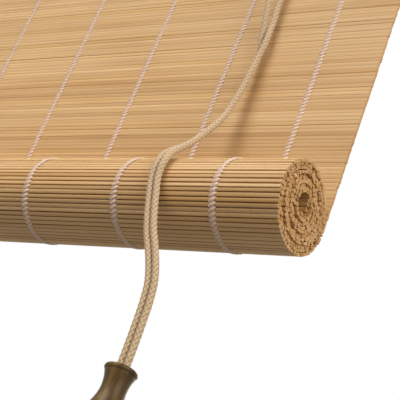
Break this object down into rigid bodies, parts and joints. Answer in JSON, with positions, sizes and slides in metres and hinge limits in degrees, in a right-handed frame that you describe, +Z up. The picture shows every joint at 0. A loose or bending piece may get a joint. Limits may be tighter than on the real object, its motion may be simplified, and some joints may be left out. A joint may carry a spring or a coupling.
{
  "type": "bamboo roll up blind",
  "caption": "Roll up window blind of thin bamboo sticks woven with warp threads, lifted by cord slings over pulleys, with a cord lock and a wooden tassel.",
  "frame": {"origin": "midway between the two hanger holes, on the back of the hanger plates", "axes": "+X along the rail to the right as seen from the room, +Y to the wall, +Z up"},
  "size_m": [0.8, 0.0739, 0.779],
  "materials": {
    "rail_wood": "oiled softwood",
    "bamboo": "raw split bamboo",
    "warp_thread": "plain twisted thread",
    "steel": "zinc plated",
    "brass": "turned",
    "cord": "braided",
    "stained_wood": "dark stain, satin"
  },
  "bodies": {
    "head": {"head_rail": "rail_wood", "clamp_strip": "rail_wood", "reed_mat": "bamboo", "mat_threads": "warp_thread", "clamp_screws": "steel", "left_hanger_plate": "steel", "right_hanger_plate": "steel", "hanger_screws": "steel", "left_pulley_bracket": "steel", "right_pulley_bracket": "steel", "pulley_screws": "steel", "left_pulley_pin": "steel", "right_pulley_pin": "steel", "lock_housing": "steel", "lock_roller_pin": "steel", "lock_cam_pin": "steel", "lock_screws": "steel", "left_cord_anchor": "cord", "right_cord_anchor": "cord", "left_lift_cord_back": "cord", "left_lift_cord_front": "cord", "left_head_run": "cord", "right_lift_cord_back": "cord", "right_lift_cord_front": "cord", "right_head_run": "cord", "left_pull_run": "cord", "right_pull_run": "cord"},
    "slings": {"left_sling": "cord", "right_sling": "cord", "left_pull_drape": "cord", "right_pull_drape": "cord", "tassel": "stained_wood", "tassel_knot": "cord"},
    "roll": {"mat_roll": "bamboo", "roll_threads": "warp_thread"},
    "left_wheel": {"left_sheave": "brass"},
    "right_back_wheel": {"right_sheave_back": "brass"},
    "right_front_wheel": {"right_sheave_front": "brass"},
    "lock_wheel": {"lock_roller": "brass"},
    "cam": {"lock_cam": "brass"}
  },
  "joints": [
    {"name": "roll_lift", "type": "slide", "parent": "head", "child": "slings", "axis": [0, 0, 1], "range_m": [0, 0.52], "deforming": ["reed_mat", "mat_threads", "left_lift_cord_back", "right_lift_cord_back", "left_lift_cord_front", "right_lift_cord_front", "left_pull_run", "right_pull_run"]},
    {"name": "roll_turn", "type": "hinge", "parent": "slings", "child": "roll", "pos_m": [0, -0.042, -0.642], "axis": [1, 0, 0], "range_deg": [-1560, 0]},
    {"name": "left_wheel_turn", "type": "hinge", "parent": "head", "child": "left_wheel", "pos_m": [-0.142, -0.0337, -0.028], "axis": [0, 1, 0], "continuous": true},
    {"name": "right_back_wheel_turn", "type": "hinge", "parent": "head", "child": "right_back_wheel", "pos_m": [0.154, -0.0337, -0.028], "axis": [0, 1, 0], "continuous": true},
    {"name": "right_front_wheel_turn", "type": "hinge", "parent": "head", "child": "right_front_wheel", "pos_m": [0.154, -0.0391, -0.028], "axis": [0, 1, 0], "continuous": true},
    {"name": "lock_wheel_turn", "type": "hinge", "parent": "head", "child": "lock_wheel", "pos_m": [0.333, -0.0364, -0.028], "axis": [0, 1, 0], "continuous": true},
    {"name": "cam_swing", "type": "hinge", "parent": "head", "child": "cam", "pos_m": [0.328, -0.0364, -0.045], "axis": [0, 1, 0], "range_deg": [0, 40]}
  ],
  "couplings": [
    {"joint": "roll_turn", "follows": "roll_lift", "rad_per_m": -51.813},
    {"joint": "left_wheel_turn", "follows": "roll_lift", "rad_per_m": 333.33},
    {"joint": "right_back_wheel_turn", "follows": "roll_lift", "rad_per_m": 333.33},
    {"joint": "right_front_wheel_turn", "follows": "roll_lift", "rad_per_m": 333.33},
    {"joint": "lock_wheel_turn", "follows": "roll_lift", "rad_per_m": 333.33}
  ]
}
